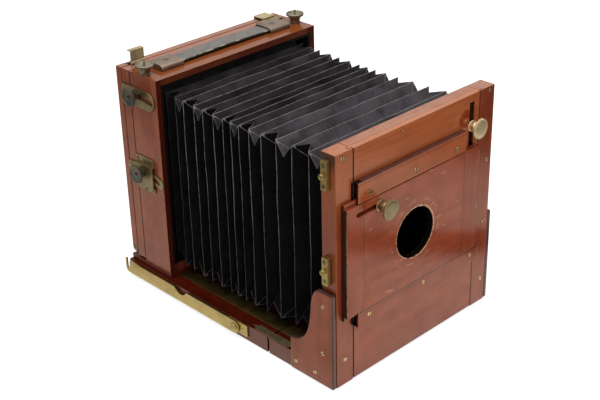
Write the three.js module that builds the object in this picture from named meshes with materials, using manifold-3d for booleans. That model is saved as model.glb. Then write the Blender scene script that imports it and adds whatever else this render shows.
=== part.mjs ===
// A tailboard view camera in mahogany and brass: a front frame with a rising and crossing lens board,
// a folding bed, pleated bellows, and a rear standard with a swing back and a folding focusing screen.
// Millimetres, +Z up, the front faces -Y. Pieces are laid out from the front frame's face (Y = 0),
// and the whole is then moved so that the origin is under the middle of its box.
import * as THREE from "three";
import { mergeVertices } from "three/addons/utils/BufferGeometryUtils.js";
import Module from "manifold-3d";

const wasm = await Module();
wasm.setup();

// Driving dimensions
const GAP = 0.3; // running clearance between moving pieces
const JOINT = 0.1; // glue line between fixed pieces
const REVEAL = 0.8; // open joint between the rising panel and the stiles
const SIDES = [["left", -1], ["right", 1]];
const BODY_X = 132; // half width of the front frame
const BODY_TOP = 290;
const FRAME_DEPTH = 21.2;
const STILE = 26.5; // width of a front stile
const PANEL = { thick: 7, foot: 1.5, tongue: 3.8, opening: [-50, 54, 120, 194] };
const LENS = { x: -13, z: 157, r: 31 };
const BOARD = { x: [-124, 99.4], z: [92.3, 226], front: -8, tongue: 5, tongueX: [-124, 52] };
const RAIL_FACE = -7; // front of the two rails that hold the lens board
const RISE_KNOB = { x: 91, z: 251 };
const CROSS_KNOB = { x: -72.5, z: 214.5 };
const SLOT = 5.5;
const RISE_SLOT = 8;
const SCREW = 2.4; // radius of a clamp screw
const CHEEK = { out: 138.6, length: 68.5, low: 43, high: 124 };
const BLOCK = { y: [7.4, 15.3], half: 17, out: 138.6 };
const STUD_Z = { upper: 266, lower: 151.5 };
const STUD_Y = 11.5;
const BED = { half: 136.5, top: 22, split: 108, end: 373, rail: 118, board: 16, ends: [106.6, 109.4] };
const RACK = { inner: 98, front: 36, back: 360.6 };
const STAY = { y: 164.5, z: 13, half: 8.75, inner: 139.1, thick: 2, lip: 3 };
const REAR = { x: 131.6, y: [293.4, 343], z: [28.5, 291], wall: 11.5 };
const SOLE = { x: 131.3, z: [22.3, 28.4] };
const PINION = { y: 331, z: 31, r: 8.4, shaft: 2.5 };
const SWING = { y: [344, 359], foot: 31, stile: 19.6, rail: 19, pivotY: 344, pivotZ: 31.5 };
const SCREEN = { y: [360, 370.5], pivotY: 365.25, pivotZ: 39.5, window: [102, 84, 244], rebate: 6 };
const UPPER_KNOB = { y: 332, z: 264 };
const MID_KNOB = { y: 331, z: 162 };
const THUMB = { x: 124.5, y: 321.5 };
const CATCH = { x: [98, 118], y: 357, length: 16, lip: 5, thick: 1.5 };
const BELLOWS = { x: 114.5, top: 272.5, bottom: 44.5, topSag: 5, bottomSag: 9, depth: 17, cloth: 1.2 };
const PLEATS = { first: 31, pitches: [26, 26, 25, 24, 20, 17, 14, 13, 17, 18, 16, 19, 15, 16, 16, 17] };
const KNOB_R = 12;
const KNOB_DISC = 3.3;
const KNOB_CAP = 5; // from the underside of the disc to the end of the screw
const CROSS_NECK = 14;
const TURN = 20; // segments round a knob
const BORE = 12; // segments round a screw hole or a pin

const STUD_REACH = Math.hypot(STUD_Y - STAY.y, STUD_Z.lower - STAY.z);
const STAY_END = STAY.y + STUD_REACH + SCREW + STAY.lip;
const FRONT_END = BOARD.front - GAP - CROSS_NECK - KNOB_CAP;
const MIDDLE_Y = (STAY_END + FRONT_END) / 2;

const wood = new THREE.MeshStandardMaterial({ color: 0x8a4a2c, roughness: 0.4, metalness: 0 });
const redWood = new THREE.MeshStandardMaterial({ color: 0x5c1c10, roughness: 0.25, metalness: 0 });
const brass = new THREE.MeshStandardMaterial({ color: 0xb3955a, roughness: 0.4, metalness: 0.9 });
const oldBrass = new THREE.MeshStandardMaterial({ color: 0x8b8674, roughness: 0.5, metalness: 0.8 });
const leather = new THREE.MeshStandardMaterial({ color: 0x35382f, roughness: 0.6, metalness: 0 });
const cloth = new THREE.MeshStandardMaterial({ color: 0x1b1b1e, roughness: 0.8, metalness: 0 });
const glass = new THREE.MeshStandardMaterial({ color: 0xd5dad8, roughness: 0.6, metalness: 0 });

const camera = new THREE.Group();
camera.position.y = -MIDDLE_Y;

function piece(name, geometry, material) {
  const mesh = new THREE.Mesh(geometry, material);
  mesh.name = name;
  camera.add(mesh);
}

// Solids and booleans

function solid(geometry) {
  const bare = geometry.index ? geometry.toNonIndexed() : geometry.clone();
  bare.deleteAttribute("normal");
  bare.deleteAttribute("uv");
  const merged = mergeVertices(bare, 1e-4);
  const vertProperties = new Float32Array(merged.attributes.position.array);
  const triVerts = new Uint32Array(merged.index.array);
  return new wasm.Manifold(new wasm.Mesh({ numProp: 3, vertProperties, triVerts }));
}

function geometryOf(made) {
  const mesh = made.getMesh();
  const geometry = new THREE.BufferGeometry();
  geometry.setAttribute("position", new THREE.BufferAttribute(mesh.vertProperties, 3));
  geometry.setIndex(new THREE.BufferAttribute(mesh.triVerts, 1));
  return geometry;
}

const cut = (base, ...tools) =>
  geometryOf(tools.reduce((left, tool) => left.subtract(solid(tool)), solid(base)));

const join = (base, ...others) =>
  geometryOf(others.reduce((sum, other) => sum.add(solid(other)), solid(base)));

function slab(x, y, z) {
  const size = [x, y, z].map(([a, b]) => Math.abs(b - a));
  const middle = [x, y, z].map(([a, b]) => (a + b) / 2);
  return new THREE.BoxGeometry(...size).translate(...middle);
}

// An outline swept along an axis: (Y, Z) along X, (X, Z) along Y, and (X, Y) along Z.
function sweep(shape, [a, b], basis, curveSegments) {
  const options = { depth: Math.abs(b - a), bevelEnabled: false, curveSegments };
  return new THREE.ExtrudeGeometry(shape, options).applyMatrix4(basis);
}

const AXES = [new THREE.Vector3(1, 0, 0), new THREE.Vector3(0, 1, 0), new THREE.Vector3(0, 0, 1)];

function plateX(shape, x, detail = 10) {
  const basis = new THREE.Matrix4().makeBasis(AXES[1], AXES[2], AXES[0]);
  return sweep(shape, x, basis, detail).translate(Math.min(...x), 0, 0);
}

function plateY(shape, y, detail = 10) {
  const basis = new THREE.Matrix4().makeBasis(AXES[0], AXES[2], AXES[1].clone().negate());
  return sweep(shape, y, basis, detail).translate(0, Math.max(...y), 0);
}

function plateZ(shape, z, detail = 10) {
  return sweep(shape, z, new THREE.Matrix4(), detail).translate(0, 0, Math.min(...z));
}

// A turned piece: its profile is (radius, height) along the direction, from the seat's centre.
function turned(profile, seat, direction, segments = TURN) {
  const points = profile.map(([r, h]) => new THREE.Vector2(r, h));
  const aim = new THREE.Quaternion().setFromUnitVectors(AXES[1], new THREE.Vector3(...direction));
  return new THREE.LatheGeometry(points, segments).applyQuaternion(aim).translate(...seat);
}

const pin = (r, length, seat, direction, segments = BORE) =>
  turned([[0, 0], [r, 0], [r, length], [0, length]], seat, direction, segments);

function roundedSlot(x0, x1, z0, z1) {
  const shape = new THREE.Shape();
  const upright = z1 - z0 > x1 - x0;
  const r = (upright ? x1 - x0 : z1 - z0) / 2;
  if (upright) {
    shape.absarc((x0 + x1) / 2, z1 - r, r, 0, Math.PI, false);
    shape.absarc((x0 + x1) / 2, z0 + r, r, Math.PI, 2 * Math.PI, false);
  } else {
    shape.absarc(x1 - r, (z0 + z1) / 2, r, -Math.PI / 2, Math.PI / 2, false);
    shape.absarc(x0 + r, (z0 + z1) / 2, r, Math.PI / 2, (3 * Math.PI) / 2, false);
  }
  return shape;
}

// A band of even width that follows a circle about the swing back's pivot, with round ends.
function swingArc(radius, half, from, to) {
  const { pivotY, pivotZ } = SWING;
  const at = (angle) => [pivotY + radius * Math.cos(angle), pivotZ + radius * Math.sin(angle)];
  const shape = new THREE.Shape();
  shape.absarc(pivotY, pivotZ, radius + half, from, to, false);
  shape.absarc(...at(to), half, to, to + Math.PI, false);
  shape.absarc(pivotY, pivotZ, radius - half, to, from, true);
  shape.absarc(...at(from), half, from + Math.PI, from + 2 * Math.PI, false);
  return shape;
}

// Front frame

function frontFrame() {
  const inner = BODY_X - STILE;
  for (const [side, s] of SIDES) {
    const post = slab([s * inner, s * BODY_X], [0, FRAME_DEPTH], [0, BODY_TOP]);
    const grooveX = [s * (inner - 1), s * (inner + PANEL.tongue + GAP)];
    const groove = slab(grooveX, [3 - GAP, PANEL.thick + GAP], [-1, BODY_TOP + 1]);
    piece("front_stile_" + side, cut(post, groove), wood);
  }
  const railX = [-inner + JOINT, inner - JOINT];
  const railY = [PANEL.thick + GAP, FRAME_DEPTH];
  const topRail = slab(railX, railY, [244, BODY_TOP]);
  const bore = pin(SCREW + GAP, 12, [RISE_KNOB.x, 5, RISE_KNOB.z], [0, 1, 0]);
  piece("front_top_rail", cut(topRail, bore), wood);
  piece("front_bottom_rail", slab(railX, railY, [0, 58]), wood);
}

function cheekShape() {
  const { length, low, high } = CHEEK;
  const shape = new THREE.Shape();
  shape.moveTo(0, 0);
  shape.lineTo(length - 3, 0);
  shape.quadraticCurveTo(length, 0, length, 3);
  shape.lineTo(length, low - 2);
  shape.quadraticCurveTo(length, low, length - 3, low + 0.4);
  shape.bezierCurveTo(44, 47, 38, 62, 35.2, 92);
  shape.bezierCurveTo(34.3, 108, 31, high, 20, high);
  shape.lineTo(0, high);
  return shape;
}

function cheeks() {
  for (const [side, s] of SIDES) {
    const x = [s * (BODY_X + JOINT), s * CHEEK.out];
    piece("cheek_" + side, plateX(cheekShape(), x, 8), wood);
  }
}

// A block on the frame's side with a headed stud that the stay's hook drops over.
function studBlock(s, z) {
  const body = slab([s * (BODY_X + JOINT), s * BLOCK.out], BLOCK.y, [z - BLOCK.half, z + BLOCK.half]);
  const neck = SCREW - 0.4;
  const reach = STAY.inner + STAY.thick + GAP - BLOCK.out;
  const profile = [[0, -1], [neck, -1], [neck, reach], [3.6, reach], [3.2, reach + 1.4], [0, reach + 2.2]];
  return join(body, turned(profile, [s * BLOCK.out, STUD_Y, z], [s, 0, 0], BORE));
}

function studBlocks() {
  for (const [side, s] of SIDES)
    for (const [level, z] of Object.entries(STUD_Z))
      piece(level + "_stud_block_" + side, studBlock(s, z), brass);
}

// Rising panel and lens board

function risingPanel() {
  const half = BODY_X - STILE - REVEAL;
  const tongue = BODY_X - STILE + PANEL.tongue;
  const [x0, x1, z0, z1] = PANEL.opening;
  const height = [PANEL.foot, BODY_TOP];
  const through = [-1, PANEL.thick + 1];
  const tongued = join(
    slab([-half, half], [0, PANEL.thick], height),
    slab([-tongue, tongue], [3, PANEL.thick], height),
  );
  const slotX = [RISE_KNOB.x - RISE_SLOT / 2, RISE_KNOB.x + RISE_SLOT / 2];
  const made = cut(
    tongued,
    slab([x0, x1], through, [z0, z1]),
    plateY(roundedSlot(...slotX, 224, 280), through, 6),
    pin(SCREW + GAP, PANEL.thick + 2, [CROSS_KNOB.x, -1, CROSS_KNOB.z], [0, 1, 0]),
  );
  piece("rising_panel", made, wood);
}

function boardRails() {
  const { z, tongue } = BOARD;
  const under = [-4 - 2 * GAP, 1];
  const face = [RAIL_FACE, -JOINT];
  const upper = cut(
    slab([-105, 75], face, [z[1] + GAP, 251.5]),
    slab([-106, 76], under, [z[1] - 1, z[1] + tongue + 2 * GAP]),
    slab([-106, -98], [-3.4, 1], [z[1] - 1, 248.5]),
  );
  const lower = cut(
    slab([-105, 104], face, [72, z[0] - GAP]),
    slab([-106, 105], under, [z[0] - tongue - 2 * GAP, z[0] + 1]),
    slab([-106, -98], [-3.4, 1], [74, z[0] + 1]),
  );
  piece("upper_board_rail", upper, wood);
  piece("lower_board_rail", lower, wood);
}

function lensBoard() {
  const { x, z, front, tongue, tongueX } = BOARD;
  const through = [front - 1, 1];
  const plate = slab(x, [front, -GAP], z);
  const tongues = slab(tongueX, [-4, -GAP], [z[0] - tongue, z[1] + tongue]);
  const slot = roundedSlot(-109, -69.7, CROSS_KNOB.z - SLOT / 2, CROSS_KNOB.z + SLOT / 2);
  const hole = new THREE.Shape().absarc(LENS.x, LENS.z, LENS.r, 0, 2 * Math.PI, false);
  const made = cut(join(plate, tongues), plateY(slot, through, 6), plateY(hole, through, 20));
  piece("lens_board", made, wood);
}

// Clamp knobs: a screw, a conical neck and a milled disc.

function knob(seat, direction, neck, screw, radius = KNOB_R) {
  const top = neck + KNOB_DISC;
  const profile = [
    [0, -screw], [SCREW, -screw], [SCREW, 0], [5.8, 0], [6.8, neck - 0.5], [radius - 1, neck],
    [radius, neck + 0.6], [radius, top - 0.6], [radius - 1, top], [4, top + 0.3],
    [3, neck + KNOB_CAP], [0, neck + KNOB_CAP],
  ];
  return turned(profile, seat, direction);
}

function knobs() {
  piece("rise_knob", knob([RISE_KNOB.x, -GAP, RISE_KNOB.z], [0, -1, 0], 11.2, 15), oldBrass);
  const crossSeat = [CROSS_KNOB.x, BOARD.front - GAP, CROSS_KNOB.z];
  piece("cross_knob", knob(crossSeat, [0, -1, 0], CROSS_NECK, 13), brass);
  const plateFace = 134.2;
  const guideFace = 136.2;
  for (const [side, s] of SIDES) {
    const thumbSeat = [s * THUMB.x, THUMB.y, REAR.z[1] + GAP];
    piece("top_thumbscrew_" + side, knob(thumbSeat, [0, 0, 1], 9, 10, 11.5), oldBrass);
    const upperSeat = [s * (plateFace + GAP), UPPER_KNOB.y, UPPER_KNOB.z];
    piece("upper_knob_" + side, knob(upperSeat, [s, 0, 0], 8, 8), oldBrass);
    const midSeat = [s * (guideFace + GAP), MID_KNOB.y, MID_KNOB.z];
    piece("mid_knob_" + side, knob(midSeat, [s, 0, 0], 6, 10), oldBrass);
  }
}

// Bed, tailboard and stays

// A hinge leaf let into a rail's top, with a pointed ogee end.
function leafShape(s, knuckleY, tipY, grow) {
  const [x0, x1] = [125.2 - grow, 135.4 + grow];
  const middle = (x0 + x1) / 2;
  const way = Math.sign(tipY - knuckleY);
  const shoulder = tipY - way * 8;
  const shape = new THREE.Shape();
  shape.moveTo(s * x0, knuckleY - way * grow);
  shape.lineTo(s * x1, knuckleY - way * grow);
  shape.lineTo(s * x1, shoulder);
  shape.quadraticCurveTo(s * (middle + 1.5), shoulder + way * 1.5, s * middle, tipY + way * grow);
  shape.quadraticCurveTo(s * (middle - 1.5), shoulder + way * 1.5, s * x0, shoulder);
  return shape;
}

const LEAVES = { front: [106.4, 70], back: [109.6, 140] };
const LEAF_Z = [BED.top - 1.1, BED.top + 0.1];

function leafPocket(s, level) {
  return plateZ(leafShape(s, ...LEAVES[level], GAP), [LEAF_Z[0] - JOINT, BED.top + 2], 4);
}

function bedRails() {
  const stop = CHEEK.length + GAP;
  const [front, back] = BED.ends;
  for (const [side, s] of SIDES) {
    const inside = slab([s * BED.rail, s * (BODY_X - JOINT)], [FRAME_DEPTH + JOINT, front], [0, BED.top]);
    const outside = slab([s * 125, s * BED.half], [stop, front], [0, BED.top]);
    piece("bed_rail_" + side, cut(join(inside, outside), leafPocket(s, "front")), redWood);
    const tail = slab([s * BED.rail, s * BED.half], [back, BED.end], [0, BED.top]);
    piece("tail_rail_" + side, cut(tail, leafPocket(s, "back")), redWood);
    for (const [level, ends] of Object.entries(LEAVES))
      piece(level + "_hinge_leaf_" + side, plateZ(leafShape(s, ...ends, 0), LEAF_Z, 4), brass);
  }
}

const TRIPOD = { y: 64, r: 28, hole: 5, thick: 3 };

function bedBoards() {
  const half = BED.rail - JOINT;
  const front = slab([-half, half], [FRAME_DEPTH + JOINT, 107.9], [0, BED.board]);
  const recess = pin(TRIPOD.r + GAP, TRIPOD.thick + JOINT + 1, [0, TRIPOD.y, -1], [0, 0, 1], 2 * TURN);
  piece("bed_board", cut(front, recess), wood);
  const tail = slab([-half, half], [BED.split + 0.4, BED.end], [0, BED.board]);
  const crossEnd = slab([-half, half], [BED.end - 12, BED.end], [0, BED.top]);
  piece("tail_board", join(tail, crossEnd), wood);
  const disc = pin(TRIPOD.r, TRIPOD.thick, [0, TRIPOD.y, 0], [0, 0, 1], 2 * TURN);
  const screwHole = pin(TRIPOD.hole, TRIPOD.thick + 2, [0, TRIPOD.y, -1], [0, 0, 1]);
  piece("tripod_plate", cut(disc, screwHole), brass);
}

// Rack strips along the inside of each rail, the front pair with round ends.
function racks() {
  const z = [BED.board + JOINT, BED.top];
  const outer = BED.rail - JOINT;
  for (const [side, s] of SIDES) {
    const r = (outer - RACK.inner) / 2;
    const middle = s * (RACK.inner + r);
    const shape = new THREE.Shape();
    shape.moveTo(middle + r, 107.6);
    shape.lineTo(middle - r, 107.6);
    shape.absarc(middle, RACK.front + r, r, Math.PI, 2 * Math.PI, false);
    piece("front_rack_" + side, plateZ(shape, z, 10), brass);
    const tail = slab([s * RACK.inner, s * outer], [BED.split + 0.7, RACK.back], z);
    piece("tail_rack_" + side, tail, brass);
  }
}

// The stay lies along the tailboard and swings up to hook on the frame's lower stud.
function stayShape() {
  const { y, z, half } = STAY;
  const slotY = y + STUD_REACH;
  const shape = new THREE.Shape();
  shape.absarc(y, z, half, Math.PI / 2, (3 * Math.PI) / 2, false);
  shape.lineTo(STAY_END - 6, z - half);
  shape.quadraticCurveTo(STAY_END, z - half, STAY_END, z - 1);
  shape.lineTo(STAY_END, z + half + 2);
  shape.lineTo(slotY + SCREW, z + half + 3.5);
  shape.absarc(slotY, z, SCREW, 0, Math.PI, true);
  shape.lineTo(slotY - SCREW, z + half - 2);
  shape.quadraticCurveTo(slotY - SCREW, z + half, slotY - SCREW - 4, z + half);
  shape.absarc(STAY.y + 100, z + half + 6, 13, -0.48, Math.PI + 0.48, true);
  shape.holes.push(new THREE.Path().absarc(y, z, 3 + GAP, 0, 2 * Math.PI, true));
  return shape;
}

function stays() {
  const { y, z, inner, thick } = STAY;
  const outer = inner + thick;
  const head = thick + 2 * GAP;
  const pivot = [[0, -1], [3, -1], [3, head], [5.4, head], [5, head + 1], [0, head + 1.2]];
  for (const [side, s] of SIDES) {
    const depth = [s * (BED.half + JOINT), s * (inner - GAP)];
    const plate = slab(depth, [y - 22, y + 10], [z - 7, BED.top - JOINT]);
    const seated = join(plate, turned(pivot, [s * (inner - GAP), y, z], [s, 0, 0], BORE));
    piece("stay_pivot_plate_" + side, seated, brass);
    piece("stay_" + side, plateX(stayShape(), [s * inner, s * outer], 7), brass);
  }
}

// Bellows: rings of twelve points, each corner a triple of side, corner and top point. Valleys pull
// the corner in towards the top and towards the side by turns, so that the cloth folds flat.

const CORNERS = [[-1, 1], [1, 1], [1, -1], [-1, -1]];
const MITRE = 1 + Math.SQRT2;
// Each point's inset from the ridge's corner along X and Z: in depths, then in thicknesses inside.
const RING = {
  collar: { side: [0.5, 1.5, 1, 0], corner: [0.5, 0.5, 1, 1], top: [1.5, 0.5, 0, 1] },
  ridge: { side: [0, 1, 1, 0], corner: [0, 0, 1, 1], top: [1, 0, 0, 1] },
  lowered: { side: [1, 2, 1, 2 - MITRE], corner: [0, 1, MITRE, 1], top: [1, 1, 0, 1] },
  drawn: { side: [1, 1, 1, 0], corner: [1, 0, 1, MITRE], top: [2, 1, 2 - MITRE, 1] },
};

// The pleats stand wide behind the front frame and crowd together in the middle and at the rear.
function pleatStations() {
  const ridges = [PLEATS.first];
  for (const pitch of PLEATS.pitches) ridges.push(ridges.at(-1) + pitch);
  const stations = [{ y: FRAME_DEPTH + GAP, kinds: ["collar", "collar"] }];
  ridges.forEach((y, i) => {
    stations.push({ y, kinds: ["ridge", "ridge"] });
    const kinds = i % 2 ? ["drawn", "lowered"] : ["lowered", "drawn"];
    if (i < PLEATS.pitches.length) stations.push({ y: (y + ridges[i + 1]) / 2, kinds });
  });
  stations.push({ y: REAR.y[1] - GAP, kinds: ["collar", "collar"] });
  return stations;
}

function bellowsRing({ y, kinds }, inset) {
  const { x, top, bottom, topSag, bottomSag, depth } = BELLOWS;
  const droop = Math.sin((Math.PI * (y - FRAME_DEPTH)) / (REAR.y[1] - FRAME_DEPTH));
  return CORNERS.flatMap(([sx, sz]) => {
    const ring = RING[kinds[sz > 0 ? 0 : 1]];
    const order = sx * sz < 0 ? ["side", "corner", "top"] : ["top", "corner", "side"];
    return order.map((key) => {
      const [u, v, a, b] = ring[key];
      const [dx, dz] = [u * depth + a * inset, v * depth + b * inset];
      return [sx * (x - dx), y, sz > 0 ? top - topSag * droop - dz : bottom - bottomSag * droop + dz];
    });
  });
}

function bellows() {
  const stations = pleatStations();
  const positions = [];
  const index = [];
  for (const inset of [0, BELLOWS.cloth])
    for (const station of stations) positions.push(...bellowsRing(station, inset).flat());
  const size = 3 * CORNERS.length;
  const inner = stations.length * size;
  const quad = (a, b, c, d) => index.push(a, b, c, a, c, d);
  for (let k = 0; k + 1 < stations.length; k++)
    for (let j = 0; j < size; j++) {
      const next = (j + 1) % size;
      const [a, b, c, d] = [k * size + j, k * size + next, (k + 1) * size + next, (k + 1) * size + j];
      const ridgeFirst = stations[k].kinds[0] === "ridge";
      const flip = (j % 3 === 1) === ridgeFirst;
      if (flip) quad(a, b, c, d);
      else quad(b, c, d, a);
      if (flip) quad(inner + c, inner + b, inner + a, inner + d);
      else quad(inner + d, inner + c, inner + b, inner + a);
    }
  const last = (stations.length - 1) * size;
  for (let j = 0; j < size; j++) {
    const next = (j + 1) % size;
    quad(inner + j, inner + next, next, j);
    quad(last + j, last + next, inner + last + next, inner + last + j);
  }
  const geometry = new THREE.BufferGeometry();
  geometry.setAttribute("position", new THREE.Float32BufferAttribute(positions, 3));
  geometry.setIndex(index);
  piece("bellows", geometryOf(solid(geometry)), cloth);
}

// Rear standard

function rearFrame() {
  const { x, y, z, wall } = REAR;
  const inside = slab([wall - x, x - wall], [y[0] - 1, y[1] + 1], [z[0] + wall, z[1] - wall]);
  const room = PINION.r + 0.4;
  const cuts = [inside, pin(PINION.shaft + GAP, 2 * x, [-119.5, PINION.y, PINION.z], [1, 0, 0])];
  for (const [, s] of SIDES) {
    const slotY = [PINION.y - room, PINION.y + room];
    cuts.push(slab([s * (RACK.inner - 0.5), s * (BED.rail + 0.5)], slotY, [z[0] - 1, z[0] + wall + 1]));
    cuts.push(pin(SCREW + GAP, 12, [s * THUMB.x, THUMB.y, z[1] - 11], [0, 0, 1]));
    cuts.push(pin(SCREW + GAP, 12, [s * (x - 7), UPPER_KNOB.y, UPPER_KNOB.z], [s, 0, 0]));
    cuts.push(pin(SCREW + GAP, 12, [s * (x - 7), MID_KNOB.y, MID_KNOB.z], [s, 0, 0]));
  }
  piece("rear_frame", cut(slab([-x, x], y, z), ...cuts), wood);
}

function rearSole() {
  const room = PINION.r + 0.4;
  const cuts = SIDES.map(([, s]) => {
    const slotY = [PINION.y - room, PINION.y + room];
    return slab([s * (RACK.inner - 0.5), s * (BED.rail + 0.5)], slotY, [SOLE.z[0] - 1, SOLE.z[1] + 1]);
  });
  piece("rear_sole", cut(slab([-SOLE.x, SOLE.x], [REAR.y[0], BED.end], SOLE.z), ...cuts), wood);
}

// One shaft carries a pinion over each rack, and a milled wheel outside the frame turns it.
function focusDrive() {
  const { r, shaft, y, z } = PINION;
  const inner = RACK.inner + 0.5;
  const outer = BED.rail - 0.5;
  const profile = [
    [0, -119], [shaft, -119], [shaft, -outer], [r, -outer], [r, -inner], [shaft, -inner],
    [shaft, inner], [r, inner], [r, outer], [shaft, outer], [shaft, 132.3], [0, 132.3],
  ];
  piece("focus_pinion", turned(profile, [0, y, z], [1, 0, 0]), brass);
  const rim = r + 0.1;
  const wheel = [
    [0, 0], [rim - 0.6, 0], [rim, 0.6], [rim, 5], [rim - 0.6, 5.6], [3, 5.6], [2.6, 6.2], [0, 6.2],
  ];
  piece("focus_wheel", turned(wheel, [132.4, y, z], [1, 0, 0]), brass);
}

// The swing back's link slides behind this bridged plate.
function linkGuides() {
  for (const [side, s] of SIDES) {
    const face = REAR.x + JOINT;
    const flange = roundedPlate(309, 342.7, 137, 183.5, 3);
    const outline = plateX(flange, [s * face, s * 136.2], 4);
    const tunnel = slab([s * (face - 1), s * 134.1], [300, 350], [144.5, 172.5]);
    const step = [[130, 143.3], [173.7, 190]].map((z) => slab([s * 133.3, s * 140], [300, 350], z));
    const bore = pin(SCREW + GAP, 8, [s * 131, MID_KNOB.y, MID_KNOB.z], [s, 0, 0]);
    piece("link_guide_" + side, cut(outline, tunnel, ...step, bore), oldBrass);
  }
}

function roundedPlate(y0, y1, z0, z1, r) {
  const shape = new THREE.Shape();
  shape.absarc(y1 - r, z0 + r, r, -Math.PI / 2, 0, false);
  shape.absarc(y1 - r, z1 - r, r, 0, Math.PI / 2, false);
  shape.absarc(y0 + r, z1 - r, r, Math.PI / 2, Math.PI, false);
  shape.absarc(y0 + r, z0 + r, r, Math.PI, 1.5 * Math.PI, false);
  return shape;
}

// Carrying strap in two arched end caps.
function handle() {
  const base = REAR.z[1] + JOINT;
  const arch = (half, height) => {
    const shape = new THREE.Shape();
    shape.moveTo(-half, 0);
    shape.lineTo(half, 0);
    shape.lineTo(half, height * 0.35);
    shape.quadraticCurveTo(half, height, half - height, height);
    shape.lineTo(height - half, height);
    shape.quadraticCurveTo(-half, height, -half, height * 0.35);
    return shape;
  };
  const place = (shape, x) => plateX(shape, x, 5).translate(0, 326.5, base);
  for (const [side, s] of SIDES) {
    const cap = place(arch(15.5, 7), [s * 72, s * 106]);
    const sleeve = place(arch(13, 5), [s * 60, s * 103]).translate(0, 0, -JOINT);
    piece("handle_cap_" + side, cut(cap, sleeve), oldBrass);
  }
  const band = new THREE.Shape();
  band.moveTo(-100, 0.5);
  band.quadraticCurveTo(0, 3.1, 100, 0.5);
  band.lineTo(100, 3.3);
  band.quadraticCurveTo(0, 6.4, -100, 3.3);
  piece("handle_strap", plateY(band, [315, 338], 10).translate(0, 0, base), leather);
}

// Swing back and focusing screen

function swingFrame() {
  const { y, foot, stile, rail } = SWING;
  const x = REAR.x;
  const window = slab([stile - x, x - stile], [y[0] - 1, y[1] + 1], [foot + 27, REAR.z[1] - rail]);
  piece("swing_frame", cut(slab([-x, x], y, [foot, REAR.z[1]]), window), wood);
}

function swingPlates() {
  const reach = (k) => Math.hypot(k.y - SWING.pivotY, k.z - SWING.pivotZ);
  const bearing = (k) => Math.atan2(k.z - SWING.pivotZ, k.y - SWING.pivotY);
  const travel = THREE.MathUtils.degToRad(7.4);
  const slot = (k, end) => swingArc(reach(k), SLOT / 2 + 0.4, bearing(k) - 0.012, end);
  const upperSlot = slot(UPPER_KNOB, bearing(UPPER_KNOB) + travel);
  for (const [side, s] of SIDES) {
    const x = [s * (REAR.x + GAP), s * 134.2];
    const far = [s * 130, s * 140];
    const plate = plateX(roundedSlot(297, 372, 249, 273), x, 8);
    const square = slab(far, [358, 380], [240, 280]);
    piece("slotted_plate_" + side, cut(plate, square, plateX(upperSlot, far, 6)), oldBrass);
    const link = swingArc(reach(MID_KNOB), 6.5, 1.5, 1.93);
    const tab = roundedPlate(345, 358, 154, 170, 2);
    const thin = [s * (REAR.x + GAP), s * 133.6];
    const made = cut(join(plateX(link, thin, 6), plateX(tab, thin, 3)), plateX(slot(MID_KNOB, 1.9), far, 6));
    piece("swing_link_" + side, made, oldBrass);
  }
}

function screenFrame() {
  const { y, pivotZ, pivotY, window, rebate } = SCREEN;
  const x = REAR.x;
  const r = (y[1] - y[0]) / 2;
  const outline = new THREE.Shape();
  outline.moveTo(y[1], REAR.z[1]);
  outline.lineTo(y[0], REAR.z[1]);
  outline.absarc(pivotY, pivotZ, r, Math.PI, 2 * Math.PI, false);
  const [wx, w0, w1] = window;
  const opening = slab([-wx, wx], [y[0] - 1, y[1] + 1], [w0, w1]);
  const seat = slab([-wx - rebate, wx + rebate], [y[0] - 1, y[0] + 4], [w0 - rebate, w1 + rebate]);
  const notches = SIDES.map(([, s]) => {
    const notchX = CATCH.x.map((v, i) => s * (v + (i ? 0.5 : -0.5)));
    return slab(notchX, [y[0] - 1, y[1] + 1], [REAR.z[1] - CATCH.lip - 1, REAR.z[1] + 1]);
  });
  piece("screen_frame", cut(plateX(outline, [-x, x], 8), opening, seat, ...notches), wood);
  const edge = rebate - GAP;
  const pane = slab([-wx - edge, wx + edge], [y[0] + 1.8, y[0] + 3.9], [w0 - edge, w1 + edge]);
  piece("ground_glass", pane, glass);
}

// Spring catches over the screen frame: the left one stands open, the right one lies closed.
function catches() {
  const { y, length, lip, thick } = CATCH;
  const seat = REAR.z[1] + GAP;
  for (const [side, s] of SIDES) {
    const x = CATCH.x.map((v) => s * v);
    const barrel = pin(2, CATCH.x[1] - CATCH.x[0], [Math.min(...x), 0, 2], [1, 0, 0]);
    const leaf = slab(x, [0, length], [thick, 2 * thick]);
    const hook = slab(x, [length - thick, length], [2 * thick, -lip + 1]);
    const closed = join(leaf, hook, barrel);
    const turn = side === "left" ? Math.PI / 2 : 0;
    closed.translate(0, 0, -2).rotateX(turn).translate(0, y, seat + 2);
    piece("catch_" + side, closed, oldBrass);
  }
}

frontFrame();
cheeks();
studBlocks();
risingPanel();
boardRails();
lensBoard();
knobs();
bedRails();
bedBoards();
racks();
stays();
bellows();
rearFrame();
rearSole();
focusDrive();
linkGuides();
handle();
swingFrame();
swingPlates();
screenFrame();
catches();

export default camera;
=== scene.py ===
"""The finish of a mahogany tailboard view camera: woods, brass, bellows and the small fittings.
Millimetres are used for sizes (MM turns them into metres), with Y measured from the front frame's face."""
import math
import random

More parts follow.
